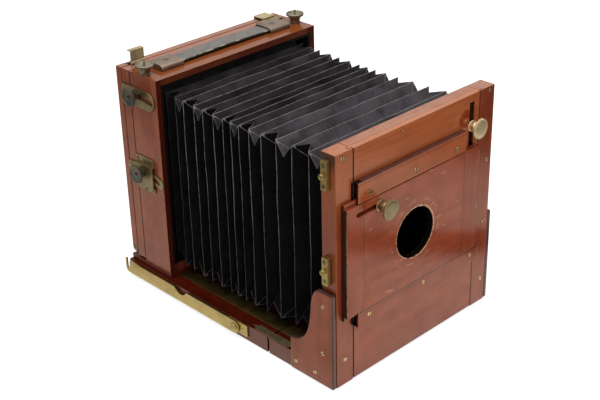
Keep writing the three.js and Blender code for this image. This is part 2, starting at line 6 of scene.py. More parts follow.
import bpy
from mathutils import Matrix, Vector, noise
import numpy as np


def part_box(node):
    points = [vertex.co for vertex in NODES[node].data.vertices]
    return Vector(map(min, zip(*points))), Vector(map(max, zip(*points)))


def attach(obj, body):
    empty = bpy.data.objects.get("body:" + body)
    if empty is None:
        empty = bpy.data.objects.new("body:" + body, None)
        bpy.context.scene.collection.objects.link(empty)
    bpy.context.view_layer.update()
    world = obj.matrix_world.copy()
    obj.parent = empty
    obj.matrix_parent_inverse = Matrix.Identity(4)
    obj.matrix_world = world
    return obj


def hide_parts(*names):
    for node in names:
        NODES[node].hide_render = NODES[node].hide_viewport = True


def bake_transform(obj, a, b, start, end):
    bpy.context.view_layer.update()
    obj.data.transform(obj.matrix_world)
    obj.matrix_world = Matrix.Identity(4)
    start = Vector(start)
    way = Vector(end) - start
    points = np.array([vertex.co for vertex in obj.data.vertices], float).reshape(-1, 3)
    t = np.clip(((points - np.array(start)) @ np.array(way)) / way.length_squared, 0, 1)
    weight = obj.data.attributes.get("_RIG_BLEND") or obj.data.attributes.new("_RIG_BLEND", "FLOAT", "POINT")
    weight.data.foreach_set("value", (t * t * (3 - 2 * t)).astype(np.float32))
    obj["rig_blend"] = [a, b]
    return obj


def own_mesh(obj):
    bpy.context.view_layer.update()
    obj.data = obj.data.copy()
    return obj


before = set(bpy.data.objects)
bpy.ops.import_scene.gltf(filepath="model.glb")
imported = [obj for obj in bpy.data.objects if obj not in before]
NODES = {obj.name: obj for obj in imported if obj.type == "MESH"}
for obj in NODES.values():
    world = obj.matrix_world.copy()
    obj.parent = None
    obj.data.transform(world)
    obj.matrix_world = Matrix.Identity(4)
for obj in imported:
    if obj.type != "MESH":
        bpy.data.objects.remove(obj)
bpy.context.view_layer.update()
MM = 0.001
FRONT_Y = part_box("front_stile_left")[0].y
STRAP_Y = 326.5  # the strap's middle, in mm
SIDES = (("_left", -1), ("_right", 1))
X, Y, Z = Vector((1, 0, 0)), Vector((0, 1, 0)), Vector((0, 0, 1))


def place(x, y, z):
    """A point in millimetres from the front frame's face, in the frame's metres."""
    return Vector((x * MM, FRONT_Y + y * MM, z * MM))


def new_object(name, data):
    thing = bpy.data.objects.new(name, data)
    bpy.context.scene.collection.objects.link(thing)
    return thing


# ---------------- camera, floor and light

VIEW = {"azimuth": -43.857, "elevation": 27.623, "roll": -1.355, "lens": 72.77}
EYE = Vector((-0.92804, FRONT_Y - 0.77534, 0.82236))
PAPER_GLOW = 1.05


def make_camera():
    azimuth, elevation, roll = (math.radians(VIEW[key]) for key in ("azimuth", "elevation", "roll"))
    right = Vector((math.cos(azimuth), math.sin(azimuth), 0))
    flat = Vector((-math.sin(azimuth), math.cos(azimuth), 0))
    forward = flat * math.cos(elevation) - Z * math.sin(elevation)
    up = right.cross(forward)
    turned_right = right * math.cos(roll) + up * math.sin(roll)
    turned_up = up * math.cos(roll) - right * math.sin(roll)
    data = bpy.data.cameras.new("camera")
    data.lens = VIEW["lens"]
    data.sensor_width = 36
    data.clip_end = 50
    camera = new_object("camera", data)
    camera.matrix_world = Matrix((turned_right, turned_up, -forward)).transposed().to_4x4()
    camera.location = EYE
    bpy.context.scene.camera = camera


def area_light(name, spot, aim, size, power):
    data = bpy.data.lights.new(name, "AREA")
    data.shape = "RECTANGLE"
    data.size, data.size_y = size
    data.energy = power
    light = new_object(name, data)
    light.location = spot
    light.rotation_euler = (Vector(aim) - Vector(spot)).to_track_quat("-Z", "Y").to_euler()
    light.visible_camera = False


def make_room():
    """A dim room: dark below the horizon, brighter towards the ceiling."""
    world = bpy.data.worlds.new("room")
    world.use_nodes = True
    tree = world.node_tree
    height = tree.nodes.new("ShaderNodeSeparateXYZ")
    tree.links.new(tree.nodes.new("ShaderNodeTexCoord").outputs["Generated"], height.inputs[0])
    level = tree.nodes.new("ShaderNodeMapRange")
    for socket, value in zip(level.inputs[1:5], (-0.05, 0.9, 0.10, 0.85)):  # heights, then strengths
        socket.default_value = value
    tree.links.new(height.outputs["Z"], level.inputs[0])
    background = tree.nodes["Background"]
    background.inputs["Color"].default_value = (1, 1, 1, 1)
    tree.links.new(level.outputs[0], background.inputs["Strength"])
    bpy.context.scene.world = world


def stage_piece(name, points, faces, material, ray):
    """Part of the room, met by one kind of ray: camera, diffuse or glossy."""
    mesh = bpy.data.meshes.new(name)
    mesh.from_pydata(points, [], faces)
    mesh.materials.append(material)
    piece = new_object(name, mesh)
    for kind in ("camera", "diffuse", "glossy"):
        setattr(piece, "visible_" + kind, kind == ray)
    piece.visible_shadow = False
    piece.visible_transmission = ray == "camera"


def stage_sheet(name, reach, height, material, ray):
    corners = [(reach * x, reach * y, height) for x, y in ((-1, -1), (1, -1), (1, 1), (-1, 1))]
    stage_piece(name, corners, [(0, 1, 2, 3)], material, ray)


def glowing(shader, colour, strength):
    shader.set(base_color=colour, roughness=1.0, specular_ior_level=0.0)
    shader.set(emission_color=(1, 1, 1), emission_strength=strength)
    return shader.material


def table_shine():
    """What the polish reflects: a bright table with a dark strip across it, and a dim room past it."""
    shader = Shader("table_shine")
    across = shader.along((0.755, -0.656, 0))
    sideways = shader.along((-1, 0, 0))
    near = shader.levels(across, 550, 680, (1.0, 0.04))
    left = shader.levels(sideways, 330, 520, (1.0, 0.3))
    left = shader.times(left, shader.levels(sideways, 120, 190, (1.0, 0.68)))
    strip = shader.times(shader.levels(across, 295, 362), shader.upto(across, 395, 401))
    zone = shader.levels(across, 360, 400, (1.0, 0.85))
    bright = shader.times(near, zone, left, shader.upto(strip, 0.0, 1.0, 1.12))
    return glowing(shader, (0, 0, 0), bright)


def paper(name, glow, shade=0.0):
    """White paper that glows, with a painted shadow where something stands close over it."""
    shader = Shader(name)
    if shade:
        # painted contact shadow: less glow near the object
        glow = shader.levels(shader.crevices(22), 0.0, 0.9, (glow, glow - shade))
    return glowing(shader, (0.8, 0.8, 0.8), glow)


def make_backdrop():
    """A white dome behind everything that only the camera sees."""
    radius, rows, columns = 9.0, 12, 32
    points = []
    for row in range(rows):
        tilt = math.radians(-4 + 94 * row / rows)
        for column in range(columns):
            turn = math.tau * column / columns
            ring = radius * math.cos(tilt)
            points.append((ring * math.cos(turn), ring * math.sin(turn), radius * math.sin(tilt)))
    faces = tube_faces(rows, columns)[1:]  # open at the bottom
    stage_piece("backdrop", points, faces, paper("white_paper", PAPER_GLOW), "camera")


def make_studio():
    view = bpy.context.scene.view_settings
    view.view_transform = "Standard"
    view.look = "None"
    make_room()
    area_light("overhead", (-0.1, -0.2, 2.3), (0, 0, 0.1), (2.6, 2.2), 34)
    area_light("window", (1.7, 1.8, 1.45), (0, 0, 0.25), (1.7, 1.2), 3.5)
    area_light("front_left", (-1.5, -2.1, 1.3), (0, 0, 0.15), (1.8, 1.5), 14)
    stage_sheet("floor", 8.5, -0.0006, paper("floor_paper", PAPER_GLOW, shade=0.3), "camera")
    stage_sheet("table", 1.5, -0.0003, paper("table_white", 0.0), "diffuse")
    stage_sheet("table_shine", 3.0, -0.0002, table_shine(), "glossy")
    make_backdrop()


# ---------------- materials

class Shader:
    """A principled material with short ways to lay procedural textures in rest coordinates (metres)."""

    def __init__(self, name, rest=None):
        self.material = bpy.data.materials.new(name)
        self.material.use_nodes = True
        self.tree = self.material.node_tree
        self.bsdf = self.tree.nodes["Principled BSDF"]
        if rest:
            self.point = self.attribute(rest, "Vector")
        else:
            self.point = self.add("ShaderNodeTexCoord").outputs["Object"]

    def add(self, kind, inputs=(), **settings):
        node = self.tree.nodes.new(kind)
        for key, value in settings.items():
            setattr(node, key, value)
        for key, value in dict(inputs).items():
            self.feed(node.inputs[key], value)
        return node

    def feed(self, socket, value):
        if isinstance(value, bpy.types.NodeSocket):
            self.tree.links.new(value, socket)
        else:
            socket.default_value = (*value, 1) if socket.type == "RGBA" else value

    def set(self, **values):
        for key, value in values.items():
            name = " ".join(word.capitalize() for word in key.split("_")).replace("Ior", "IOR")
            self.feed(self.bsdf.inputs[name], value)

    def attribute(self, name, output="Fac"):
        return self.add("ShaderNodeAttribute", attribute_name=name).outputs[output]

    def math(self, operation, a, b=0.0):
        return self.add("ShaderNodeMath", {0: a, 1: b}, operation=operation).outputs[0]

    def times(self, first, *others):
        for other in others:
            first = self.math("MULTIPLY", first, other)
        return first

    def scaled(self, factors, shift=(0, 0, 0)):
        return self.add("ShaderNodeVectorMath", {0: self.point, 1: factors, 2: shift},
                        operation="MULTIPLY_ADD").outputs[0]

    def along(self, direction, level=0.0):
        """Distance in mm along a direction, measured from a level in mm."""
        inputs = {0: self.point, 1: tuple(c / MM for c in direction)}
        distance = self.add("ShaderNodeVectorMath", inputs, operation="DOT_PRODUCT").outputs["Value"]
        return self.math("SUBTRACT", distance, level)

    def x(self, level=0.0):
        return self.along(X, level)

    def y(self, level=0.0):
        return self.along(Y, level)

    def z(self, level=0.0):
        return self.along(Z, level)

    def away(self, value, level=0.0):
        return self.math("ABSOLUTE", self.math("SUBTRACT", value, level))

    def distance(self, a, b):
        return self.math("SQRT", self.math("ADD", self.times(a, a), self.times(b, b)))

    def facing(self, axis):
        """The surface normal's share along X, Y or Z."""
        normal = self.add("ShaderNodeNewGeometry").outputs["Normal"]
        return self.add("ShaderNodeSeparateXYZ", {0: normal}).outputs[axis]

    def noise(self, size, stretch=(1, 1, 1), detail=2.0, rough=0.5, distort=0.0, shift=(0, 0, 0)):
        """Noise with features of about this size in mm, longer along an axis by its stretch."""
        inputs = {"Vector": self.scaled(tuple(1 / (size * MM * s) for s in stretch), shift), "Scale": 1.0,
                  "Detail": detail, "Roughness": rough, "Distortion": distort}
        return self.add("ShaderNodeTexNoise", inputs).outputs["Fac"]

    def cells(self, size):
        inputs = {"Vector": self.scaled((1 / (size * MM),) * 3), "Scale": 1.0}
        return self.add("ShaderNodeTexVoronoi", inputs).outputs["Distance"]

    def levels(self, value, low, high, to=(0.0, 1.0)):
        inputs = {0: value, 1: low, 2: high, 3: to[0], 4: to[1]}
        return self.add("ShaderNodeMapRange", inputs, interpolation_type="SMOOTHSTEP").outputs[0]

    def near(self, value, low, high, share=1.0, level=0.0):
        """A share where the value is within the low distance of a level, fading to none at the high one."""
        return self.levels(self.away(value, level), low, high, (share, 0.0))

    def upto(self, value, low, high, share=1.0):
        """A share below the low value, fading to none at the high one."""
        return self.levels(value, low, high, (share, 0.0))

    def mix(self, factor, a, b, kind="MIX"):
        node = self.add("ShaderNodeMix", data_type="RGBA", blend_type=kind)
        self.feed(node.inputs[0], factor)
        self.feed(node.inputs[6], a)
        self.feed(node.inputs[7], b)
        return node.outputs[2]

    def edges(self, radius):
        """1 on corners and edges rounder than the radius (mm), 0 on flats."""
        bevel = self.add("ShaderNodeBevel", {"Radius": radius * MM}, samples=4).outputs[0]
        flat = self.add("ShaderNodeNewGeometry").outputs["Normal"]
        dot = self.add("ShaderNodeVectorMath", {0: bevel, 1: flat}, operation="DOT_PRODUCT")
        return self.levels(self.math("SUBTRACT", 1.0, dot.outputs["Value"]), 0.02, 0.3)

    def crevices(self, reach):
        """1 deep in a corner or gap, 0 in the open."""
        node = self.add("ShaderNodeAmbientOcclusion", {"Distance": reach * MM}, samples=4)
        return self.math("SUBTRACT", 1.0, node.outputs["AO"])

    def bump(self, height, depth, strength):
        inputs = {"Height": height, "Distance": depth * MM, "Strength": strength}
        self.feed(self.bsdf.inputs["Normal"], self.add("ShaderNodeBump", inputs).outputs[0])


GRAIN = {"X": (26, 1, 1), "Y": (1, 26, 1), "Z": (1, 1, 26)}  # how much longer the figure is along each axis


def darker(colour, share):
    return tuple(c * share for c in colour)


def wood_grain(shader, grain, dark, light, shift=(0, 0, 0)):
    """Colour and bump height of straight mahogany grain along an axis."""
    stretch = GRAIN[grain]
    broad = tuple(0.35 * s if s > 1 else s for s in stretch)
    figure = shader.noise(14, broad, detail=3, distort=0.4, shift=shift)
    mottle = shader.noise(24, detail=2, shift=shift)
    fibre = shader.noise(0.8, stretch, detail=2, shift=shift)
    pores = shader.levels(shader.noise(0.5, stretch, detail=1), 0.64, 0.76)
    tone = shader.math("ADD", shader.times(figure, 0.45), shader.times(fibre, 0.25))
    tone = shader.math("ADD", tone, shader.times(mottle, 0.30))
    colour = shader.mix(shader.levels(tone, 0.30, 0.70), dark, light)
    colour = shader.mix(shader.times(pores, 0.3), colour, darker(dark, 0.4))
    height = shader.math("SUBTRACT", shader.times(fibre, 0.3), pores)
    return colour, height


def polish(shader, colour, height, worn=0.7, shine=0.7, black=None):
    """Worn French polish over a wood colour: grime and painted shade in the corners, rubbed edges, a warm
    soft gloss.
    Black is the mask of parts that are painted or lie in deep shade."""
    cloud = shader.noise(38, detail=3)
    stain = shader.levels(cloud, 0.35, 0.75, (0.0, 0.25))
    colour = shader.mix(stain, colour, (0.7, 0.55, 0.5), "MULTIPLY")
    rubbed = shader.times(shader.edges(1.3), shader.levels(shader.noise(6, detail=3), 0.38, 0.60))
    colour = shader.mix(shader.times(rubbed, worn), colour, (0.42, 0.19, 0.09))
    dents = shader.levels(shader.noise(3.2, detail=1, shift=(5, 3, 8)), 0.735, 0.77, (0.0, 0.5))
    colour = shader.mix(dents, colour, (0.08, 0.02, 0.01))
    # painted shade with grime: darker deep in corners and gaps, found by ambient occlusion
    dirt_and_shade = shader.levels(shader.crevices(5), 0.30, 0.8, (0.0, 0.85))
    colour = shader.mix(dirt_and_shade, colour, (0.012, 0.003, 0.002))
    if black:
        colour = shader.mix(black, colour, (0.006, 0.005, 0.005))
    scuffs = shader.levels(shader.noise(3, detail=4, rough=0.7), 0.5, 0.8)
    haze = shader.levels(shader.noise(22, detail=3, shift=(6, 2, 4)), 0.3, 0.7, (0.82, 1.1))
    gloss = shader.times(haze, shader.levels(dirt_and_shade, 0.0, 1.0, (shine, shine * 0.3)))
    gloss = shader.times(gloss, shader.levels(shader.facing("Z"), 0.5, 0.9, (1.0, 0.4)))
    shader.set(base_color=colour, specular_ior_level=gloss, specular_tint=(1.0, 0.66, 0.42))
    shader.set(roughness=shader.math("ADD", 0.13, shader.times(scuffs, 0.12)))
    shader.bump(height, 0.03, 0.5)
    return shader.material


TOP_WEAR_AND_SHEEN = (0.46, 0.26, 0.165)  # mahogany worn pale by handling, and paler still as a painted sheen on top faces
FADED = (0.50, 0.155, 0.048)  # mahogany that light has turned golden brown
FRONT_DARK, FRONT_LIGHT = (0.205, 0.0335, 0.0115), (0.337, 0.067, 0.0248)
BODY_DARK, BODY_LIGHT = (0.165, 0.034, 0.015), (0.275, 0.068, 0.029)


def worn_top_and_sheen(shader, colour, above, share=0.5, tone=TOP_WEAR_AND_SHEEN):
    """Upward faces above a level (mm), recoloured by handling wear; the default pale tone also paints the
    sheen of the light above.
    """
    high = shader.levels(shader.z(), above, above + 2)
    mask = shader.times(shader.levels(shader.facing("Z"), 0.6, 0.95), high)
    patchy = shader.levels(shader.noise(9, (2, 1, 1), detail=3), 0.25, 0.6, (share * 0.6, share))
    return shader.mix(shader.times(mask, patchy), colour, tone)


def wood(name, grain, depth=1.0, tones=(FRONT_DARK, FRONT_LIGHT), top_from=None, black=None, painted_side_sheen=None,
         recolour=None, **finish):
    """Plain wood. Black is a function that gives the mask of a blackened inside or of painted shade,
    recolour one that tints.
    """
    shader = Shader(name)
    dark, light = (darker(tone, depth) for tone in tones)
    colour, height = wood_grain(shader, grain, dark, light)
    side = shader.away(shader.facing("X"))
    if grain == "X":
        colour = shader.mix(shader.levels(side, 0.7, 0.95, (0.0, 0.8)), colour, darker(dark, 0.18))
    if top_from:
        # top faces painted paler: handling wear and painted sheen
        colour = worn_top_and_sheen(shader, colour, top_from)
    # painted reflection: side faces lightened as the sheen of the pale table below
    if painted_side_sheen:
        colour = shader.mix(shader.levels(side, 0.8, 0.97), colour, painted_side_sheen)
    if recolour:
        colour = recolour(shader, colour)
    return polish(shader, colour, height, black=black(shader) if black else None, **finish)


def golden_top(shader, colour):
    """The upper panel has faded to a golden brown, but not where the clamp knob used to cover it."""
    share = shader.levels(shader.z(), 150, 250, (0.0, 0.49))
    covered = shader.upto(shader.distance(shader.x(80), shader.z(263)), 9.5, 11.5, 0.85)
    streaks = shader.levels(shader.noise(5, (14, 1, 1), detail=3, shift=(2, 2, 2)), 0.35, 0.65, (0.72, 1.15))
    colour = shader.mix(shader.times(share, streaks), colour, FADED)
    return shader.mix(covered, colour, (0.20, 0.022, 0.006))


def darker_sides_faded_front(shader, colour):
    """The stiles' outer sides, darker towards the top, and the left one's faded front."""
    faded = shader.times(shader.levels(shader.z(), 190, 260), shader.upto(shader.x(), -100, 100, 0.42))
    colour = shader.mix(faded, colour, FADED)
    side = shader.levels(shader.away(shader.facing("X")), 0.8, 0.97)
    high = shader.levels(shader.z(), 262, 284, (0.25, 0.92))
    return shader.mix(shader.times(side, high), colour, (0.045, 0.024, 0.018))


def moulded_cheek(shader, colour):
    """The cheek's rounded edge, painted dark as its reflection, and the quirk line beside it."""
    # painted reflection: every face but the flat sides darkened to a violet-grey
    rim = shader.near(shader.facing("X"), 0.93, 0.995, 0.92)
    colour = shader.mix(rim, colour, (0.055, 0.028, 0.028))
    quirk = shader.y(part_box("cheek_left")[0].y / MM + 4.6)
    line = shader.near(quirk, 0.2, 0.9, 0.65)
    return shader.mix(line, colour, (0.030, 0.012, 0.010))


def behind_the_panel(shader):
    """The front face, which the rising panel shades."""
    return shader.upto(shader.facing("Y"), -0.9, -0.6)


def rail_end_shade(shader):
    """The deep shade beside the board rails' left ends."""
    masks = []
    for node in ("upper_board_rail", "lower_board_rail"):
        low, high = (corner.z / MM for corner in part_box(node))
        z = shader.z((low + high) / 2)
        masks.append(shader.near(z, (high - low) / 2 - 0.5, (high - low) / 2 + 0.5, 0.97))
    x = shader.x(-103.5)
    wide = shader.near(x, 5.3, 5.8)
    return shader.times(shader.math("MAXIMUM", *masks), wide)


def panel_opening(shader):
    """Black inside the panel's opening and slot, painted shade in the gaps at its sides, and a painted shade
    under the lower rail.
    """
    wide = shader.near(shader.x(2), 52.3, 53.0)
    tall = shader.near(shader.z(157), 37.3, 38.0)
    slot_x = shader.near(shader.x(91), 3.9, 4.2)
    slot_z = shader.near(shader.z(252), 27.9, 28.2)
    holes = shader.math("MAXIMUM", shader.times(wide, tall), shader.times(slot_x, slot_z))
    # painted shade in the gaps at the panel's sides
    side = shader.levels(shader.away(shader.x()), 103.8, 104.3, (0.0, 0.9))
    side = shader.math("MAXIMUM", side, rail_end_shade(shader))
    side = shader.times(side, shader.upto(shader.facing("Y"), -0.9, -0.5))
    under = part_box("lower_board_rail")[0].z / MM - 0.5
    shade = shader.near(shader.z(under), 0.3, 1.0, 0.7)
    return shader.math("MAXIMUM", holes, shader.math("MAXIMUM", side, shade))


def stile_joint(shader):
    """Painted shade in the gap between stile and panel, and the shade beside the rails."""
    # painted shade in the gap beside the panel
    line = shader.near(shader.x(), 106.0, 106.5, 0.9)
    mask = shader.math("MAXIMUM", line, rail_end_shade(shader))
    return shader.times(mask, shader.upto(shader.facing("Y"), -0.9, -0.5))


def board_rail_wood(node, depth, bead, line):
    """A rail that holds the lens board: its top face painted violet-grey as a reflection, a dark quirk line
    under it, and painted shade, black, in the notch at its left end.
    """
    shader = Shader("mahogany_" + node)
    dark, light = darker(FRONT_DARK, depth), darker(FRONT_LIGHT, depth)
    colour, height = wood_grain(shader, "X", dark, light)
    colour = shader.mix(shader.levels(shader.z(), 150, 250, (0.0, 0.34)), colour, FADED)
    # painted reflection: upward faces violet-grey, as the bright room mirrored in the polish
    painted_top_reflection = shader.levels(shader.facing("Z"), 0.2, 0.7, (0.0, 0.9))
    colour = shader.mix(painted_top_reflection, colour, (0.075, 0.032, 0.032))
    quirk = shader.near(shader.z(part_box(node)[1].z / MM - bead), 0.3, 0.9, line)
    colour = shader.mix(quirk, colour, darker(dark, 0.2))
    # painted shade: black in the back of the notch at the left end
    deep = shader.levels(shader.y(FRONT_Y / MM - 6.7), 0.0, 0.4)
    notch_shade = shader.times(deep, shader.upto(shader.x(), -98.2, -97.9))
    return polish(shader, colour, height, black=notch_shade)


def framed_wood(name, low, high, half, front=0.0, share=0.35, tone=TOP_WEAR_AND_SHEEN):
    """A frame's wood: upright grain in its stiles, level grain in its rails, and the joint between.
    Its front, which the bellows shades, is painted darker as shade."""
    shader = Shader(name)
    upright, height = wood_grain(shader, "Z", BODY_DARK, BODY_LIGHT)
    level, _ = wood_grain(shader, "X", BODY_DARK, BODY_LIGHT, shift=(7, 0, 3))
    z = shader.z()
    below = shader.upto(z, low - 0.2, low + 0.2)
    rails = shader.math("ADD", below, shader.levels(z, high - 0.2, high + 0.2))
    side = shader.away(shader.x())
    colour = shader.mix(shader.times(rails, shader.upto(side, half, half + 0.4)), upright, level)
    joint = shader.near(side, 0.2, 0.5, 0.6, half)
    colour = shader.mix(shader.times(joint, rails), colour, darker(BODY_DARK, 0.25))
    # top faces recoloured: handling wear and, with the pale tone, painted sheen
    colour = worn_top_and_sheen(shader, colour, 288, share, tone)
    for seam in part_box("swing_frame"):  # painted shade in the gaps before and behind the swing frame
        colour = shader.mix(shader.near(shader.y(seam.y / MM), 0.6, 1.0, 0.9), colour, (0.010, 0.004, 0.003))
    inside = None
    if front:
        # painted shade: front faces darkened beside the bellows, most on the stiles
        facing = shader.upto(shader.facing("Y"), -0.9, -0.5)
        stile = shader.levels(side, half - 6, half + 6, (0.6, 1.0))
        colour = shader.mix(shader.times(facing, stile, front), colour, (0.05, 0.006, 0.003))
        lining = shader.times(shader.levels(z, low - 0.3, low), shader.upto(z, high + 3.5, high + 3.9))
        inside = shader.times(shader.upto(side, half + 4.2, half + 4.6), lining)
    return polish(shader, colour, height, black=inside)


def lens_board_wood():
    """The lens board: clamped ends with upright grain, marks of old flanges round a worn hole, painted shade
    on its ends and a painted highlight along their front corners.
    """
    shader = Shader("mahogany_lens_board")
    middle, height = wood_grain(shader, "X", FRONT_DARK, FRONT_LIGHT)
    ends, _ = wood_grain(shader, "Z", darker(FRONT_DARK, 0.92), darker(FRONT_LIGHT, 0.92), shift=(4, 0, 9))
    side = shader.away(shader.x(-12.5))
    colour = shader.mix(shader.levels(side, 84.0, 84.4), middle, ends)
    joint = shader.near(side, 0.25, 0.6, 0.75, 84.2)
    colour = shader.mix(joint, colour, darker(FRONT_DARK, 0.2))
    across = shader.x(-13)
    radius = shader.distance(across, shader.z(157))
    broken = shader.levels(shader.noise(13, detail=2, shift=(2, 6, 1)), 0.5, 0.62)
    for ring, width, strength in ((39.5, 0.5, 0.45), (42.5, 0.35, 0.3)):
        mark = shader.times(shader.near(radius, width * 0.5, width * 1.6, strength, ring), broken)
        colour = shader.mix(mark, colour, (0.62, 0.36, 0.22))
    scratches = shader.noise(0.8, (30, 1, 9), detail=1, shift=(3, 8, 5))
    colour = shader.mix(shader.levels(scratches, 0.70, 0.74, (0.0, 0.3)), colour, (0.62, 0.38, 0.25))
    chipped = shader.levels(shader.noise(3, detail=2, shift=(1, 1, 7)), 0.42, 0.5)
    inset = shader.math("SUBTRACT", radius, shader.levels(across, -12, 24, (0.0, 1.3)))
    rim = shader.times(shader.upto(inset, 31.8, 32.4, 0.9), chipped)
    colour = shader.mix(rim, colour, (0.62, 0.40, 0.22))
    colour = shader.mix(shader.upto(radius, 31.05, 31.2), colour, (0.006, 0.004, 0.003))
    # painted shade over the darker end grain: the board's ends near black
    colour = shader.mix(shader.levels(side, 110.6, 111.2), colour, (0.02, 0.006, 0.004))
    # painted highlight: a thin pale line along each end's front corner
    corner = shader.near(side, 0.25, 0.6, 0.6, 110.9)
    colour = shader.mix(shader.times(corner, broken), colour, (0.42, 0.30, 0.27))
    return polish(shader, colour, height)


def brass(name, colour, tarnish, amount, rough, freckle=0.25):
    """Old handled brass: a slow drift of tarnish, dark corners of grime and painted shade, bright rubbed
    edges, fine scratches.
    """
    shader = Shader(name)
    drift = shader.noise(15, detail=2)
    mix = shader.mix(shader.levels(drift, 0.25, 0.85, (0.0, 2.0 * amount)), colour, tarnish)
    fine = shader.noise(1.6, detail=3, rough=0.6)
    mix = shader.mix(shader.levels(fine, 0.45, 0.8, (0.0, freckle)), mix, tarnish)
    rubbed = shader.times(shader.edges(0.6), shader.levels(shader.noise(3), 0.3, 0.6))
    mix = shader.mix(rubbed, mix, tuple(min(1, c * 1.3) for c in colour))
    # painted shade with grime: darker deep in corners and slots
    dirt_and_shade = shader.levels(shader.crevices(2.2), 0.35, 0.85, (0.0, 0.9))
    mix = shader.mix(dirt_and_shade, mix, (0.02, 0.014, 0.008))
    scratches = shader.noise(0.3, (1, 16, 5), detail=2)
    shader.set(base_color=mix, metallic=1.0)
    shader.set(roughness=shader.levels(fine, 0.3, 0.75, (rough - 0.05, rough + 0.12)))
    shader.bump(shader.math("ADD", scratches, shader.times(fine, 1.5)), 0.012, 0.5)
    return shader.material


def bellows_cloth():
    """Black bookcloth, greyed on top by dust and painted sheen, less towards the rear, with pale worn lines
    along the folds, painted dimmer low down as shade.
    """
    shader = Shader("bellows_cloth", rest="rest")
    weave = shader.cells(0.7)
    cloud = shader.noise(30, detail=4, rough=0.6)
    colour = shader.mix(shader.levels(cloud, 0.3, 0.75), (0.0022, 0.0022, 0.0026), (0.0055, 0.005, 0.0055))
    up = shader.facing("Z")
    # dust and painted sheen: upward facets greyed
    dust_and_sheen = shader.times(shader.levels(up, 0.1, 0.9), shader.levels(cloud, 0.32, 0.64, (0.45, 1.0)))
    grey_tops = shader.times(dust_and_sheen, shader.levels(shader.y(), -130, 90, (0.95, 0.62)))
    aloft = shader.levels(shader.z(), 80, 230)
    grey_tops = shader.times(grey_tops, aloft)
    grey_tops = shader.times(grey_tops, shader.levels(shader.y(), 135, 152, (1.0, 0.45)))
    colour = shader.mix(grey_tops, colour, (0.125, 0.108, 0.120))
    rub = shader.levels(shader.noise(9, detail=3, rough=0.7), 0.30, 0.60, (0.35, 1.0))
    toward_front = shader.levels(shader.y(), 95, 112, (1.0, 0.12))
    # painted shade: the worn lines dimmed low down; they also fade towards the rear
    rub = shader.times(rub, shader.times(toward_front, shader.levels(aloft, 0.0, 1.0, (0.4, 1.0))))
    line = shader.upto(shader.attribute("ridge"), 0.35, 0.85)
    colour = shader.mix(shader.times(line, rub), colour, (0.26, 0.24, 0.235))
    crease = shader.upto(shader.attribute("crease"), 0.2, 0.6, 0.8)
    colour = shader.mix(shader.times(crease, rub), colour, (0.24, 0.225, 0.22))
    shader.set(base_color=colour, roughness=shader.levels(cloud, 0.3, 0.7, (0.6, 0.75)))
    shader.set(specular_ior_level=0.05)
    wrinkle = shader.noise(6, detail=4, rough=0.6)
    height = shader.math("ADD", shader.times(wrinkle, 6.0), weave)
    shader.bump(height, 0.12, 0.6)
    return shader.material


def strap_leather():
    """Dark harness leather, greyed on top by wear and painted sheen, and cracked pale along its edges."""
    shader = Shader("strap_leather")
    grain = shader.cells(1.1)
    cloud = shader.noise(14, detail=4, rough=0.65)
    colour = shader.mix(shader.levels(cloud, 0.3, 0.7), (0.022, 0.026, 0.022), (0.040, 0.044, 0.038))
    up = shader.facing("Z")
    # painted sheen with wear: upward faces greyed
    faded = shader.times(shader.levels(up, 0.55, 0.95), shader.levels(cloud, 0.2, 0.6, (0.6, 1.0)))
    colour = shader.mix(faded, colour, (0.165, 0.150, 0.135))
    chips = shader.levels(shader.noise(5, (2.5, 1, 1), detail=3, rough=0.6), 0.50, 0.58)
    edge = shader.levels(shader.away(shader.y(FRONT_Y / MM + STRAP_Y)), 10.3, 11.0)
    edge = shader.times(edge, shader.levels(up, 0.15, 0.4))
    colour = shader.mix(shader.times(edge, chips), colour, (0.55, 0.47, 0.33))
    shader.set(base_color=colour, roughness=0.5, specular_ior_level=0.4)
    shader.bump(shader.math("ADD", grain, cloud), 0.12, 0.6)
    return shader.material


def screen_glass():
    shader = Shader("ground_glass")
    shader.set(base_color=(0.80, 0.84, 0.82), transmission_weight=0.55)
    shader.set(roughness=shader.levels(shader.noise(30, detail=3), 0.3, 0.7, (0.5, 0.6)), ior=1.5)
    shader.bump(shader.noise(0.3, detail=1), 0.01, 0.5)
    return shader.material


RED_WOOD = wood("mahogany_red", "Y", tones=((0.040, 0.004, 0.0015), (0.095, 0.010, 0.003)), worn=0.35,
                shine=0.45, painted_side_sheen=(0.13, 0.040, 0.026))
BED_WOOD = wood("mahogany_bed", "X", tones=((0.03, 0.008, 0.004), (0.06, 0.015, 0.007)))
BRASS = brass("brass", (0.50, 0.37, 0.13), (0.32, 0.21, 0.07), 0.35, 0.36, 0.15)
SCREW_BRASS = brass("screw_brass", (0.84, 0.60, 0.31), (0.50, 0.33, 0.16), 0.4, 0.42, 0.2)
PALE_BRASS = brass("pale_brass", (0.98, 0.80, 0.48), (0.72, 0.56, 0.30), 0.3, 0.46)
KNOB_BRASS = brass("knob_brass", (0.48, 0.36, 0.19), (0.30, 0.22, 0.12), 0.4, 0.4)
OLD_BRASS = brass("old_brass", (0.40, 0.31, 0.15), (0.22, 0.165, 0.085), 0.45, 0.42)
CATCH_BRASS = brass("catch_brass", (0.66, 0.56, 0.35), (0.38, 0.31, 0.20), 0.45, 0.62)
CAP_BRASS = brass("cap_brass", (0.34, 0.26, 0.20), (0.22, 0.155, 0.115), 0.45, 0.45)
RACK_BRASS = brass("rack_brass", (0.25, 0.165, 0.055), (0.11, 0.070, 0.024), 0.45, 0.45)
LEAF_BRASS = brass("leaf_brass", (0.62, 0.50, 0.24), (0.36, 0.27, 0.13), 0.4, 0.4)
BLUE_BRASS = brass("blue_brass", (0.20, 0.165, 0.105), (0.085, 0.098, 0.098), 0.5, 0.42)
